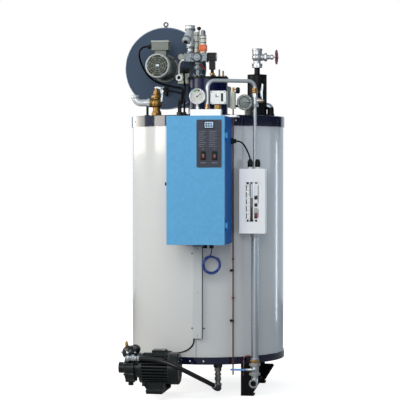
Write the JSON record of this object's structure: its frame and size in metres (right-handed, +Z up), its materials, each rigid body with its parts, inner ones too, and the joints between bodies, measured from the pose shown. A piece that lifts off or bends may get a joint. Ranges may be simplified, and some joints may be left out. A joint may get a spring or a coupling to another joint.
{
  "type": "vertical steam boiler",
  "caption": "Upright cylindrical gas-fired steam boiler with fan burner, control cabinet, level column, safety valve, steam valve and feed pump on short legs.",
  "frame": {"origin": "on the floor, on the axis of the shell", "axes": "+Z up along the shell; the control cabinet faces -Y; the water level column is at +X"},
  "size_m": [0.8213, 1.1393, 1.837],
  "materials": {
    "jacket_paint": "gloss light grey paint",
    "navy_paint": "gloss navy paint",
    "black_paint": "satin black paint",
    "cabinet_blue": "satin light blue paint",
    "white_paint": "white powder coat",
    "slate_paint": "satin slate blue paint",
    "motor_grey": "grey green paint",
    "zinc": "zinc plated steel",
    "polished_steel": "polished pipe",
    "alloy": "cast alloy",
    "chrome": "plated",
    "brass": "cast brass",
    "copper": "dulled copper",
    "maroon_paint": "gloss maroon paint",
    "lever_blue": "dipped blue sleeve",
    "lever_steel": "pressed steel",
    "panel_grey": "charcoal sheet",
    "display_glass": "display pane",
    "rocker_red": "red rocker",
    "black_plastic": "moulded",
    "pale_plastic": "moulded",
    "glass": "clear",
    "pump_black": "black enamel",
    "hose_rubber": "braided black rubber",
    "blue_tube": "blue nylon tube"
  },
  "bodies": {
    "base": {"jacket_left": "jacket_paint", "jacket_right": "jacket_paint", "top_cover": "navy_paint", "base_pan": "navy_paint", "legs": "black_paint", "flue_spigot": "zinc", "wind_box": "navy_paint", "wind_box_lid": "black_paint", "brass_fittings": "brass", "fan_housing": "slate_paint", "fan_disc": "slate_paint", "fan_motor": "motor_grey", "motor_cowl": "motor_grey", "air_switch": "zinc", "gas_strainer": "alloy", "gas_valve": "alloy", "gas_solenoid": "black_plastic", "safety_valve": "brass", "safety_lever": "chrome", "safety_discharge": "zinc", "steam_separator": "black_paint", "separator_return": "black_paint", "steam_valve": "chrome", "control_cabinet": "cabinet_blue", "cabinet_frame": "zinc", "cable_glands": "black_plastic", "cable_trunking": "white_paint", "gauge_bracket": "white_paint", "pressure_gauge": "polished_steel", "pressure_switch": "pale_plastic", "impulse_pipe": "polished_steel", "gauge_cock": "chrome", "level_control": "alloy", "needle_valve": "alloy", "drain_tube": "copper", "gauge_box": "white_paint", "gauge_core": "zinc", "sight_glass": "glass", "column_pipes": "polished_steel", "blowdown_valve": "chrome", "pump_casing": "pump_black", "pump_motor": "pump_black", "feed_fittings": "zinc", "feed_hose": "hose_rubber", "pump_cable": "hose_rubber", "gauge_cable": "hose_rubber", "fan_cable": "hose_rubber", "valve_cable": "hose_rubber", "spark_cable": "hose_rubber", "air_tube": "pale_plastic", "spare_tube": "blue_tube", "tube_coil": "blue_tube"},
    "door": {"cabinet_door": "cabinet_blue", "control_panel": "panel_grey", "display_window": "display_glass", "rocker_switches": "rocker_red", "door_latch": "black_plastic"},
    "handwheel": {"handwheel": "maroon_paint"},
    "blowdown_lever": {"blowdown_lever": "lever_blue"},
    "cock_lever": {"cock_lever": "lever_steel"}
  },
  "joints": [
    {"name": "door_hinge", "type": "hinge", "parent": "base", "child": "door", "pos_m": [0.1806, -0.6223, 1.0395], "axis": [0, 0, 1], "range_deg": [0, 120]},
    {"name": "handwheel_turn", "type": "hinge", "parent": "base", "child": "handwheel", "pos_m": [0.357, -0.13, 1.636], "axis": [1, 0, 0], "range_deg": [0, 900]},
    {"name": "blowdown_turn", "type": "hinge", "parent": "base", "child": "blowdown_lever", "pos_m": [0.277, -0.377, 0.14], "axis": [0, 1, 0], "range_deg": [0, 90]},
    {"name": "cock_turn", "type": "hinge", "parent": "base", "child": "cock_lever", "pos_m": [0.312, -0.34, 1.416], "axis": [1, 0, 0], "range_deg": [0, 90]}
  ]
}
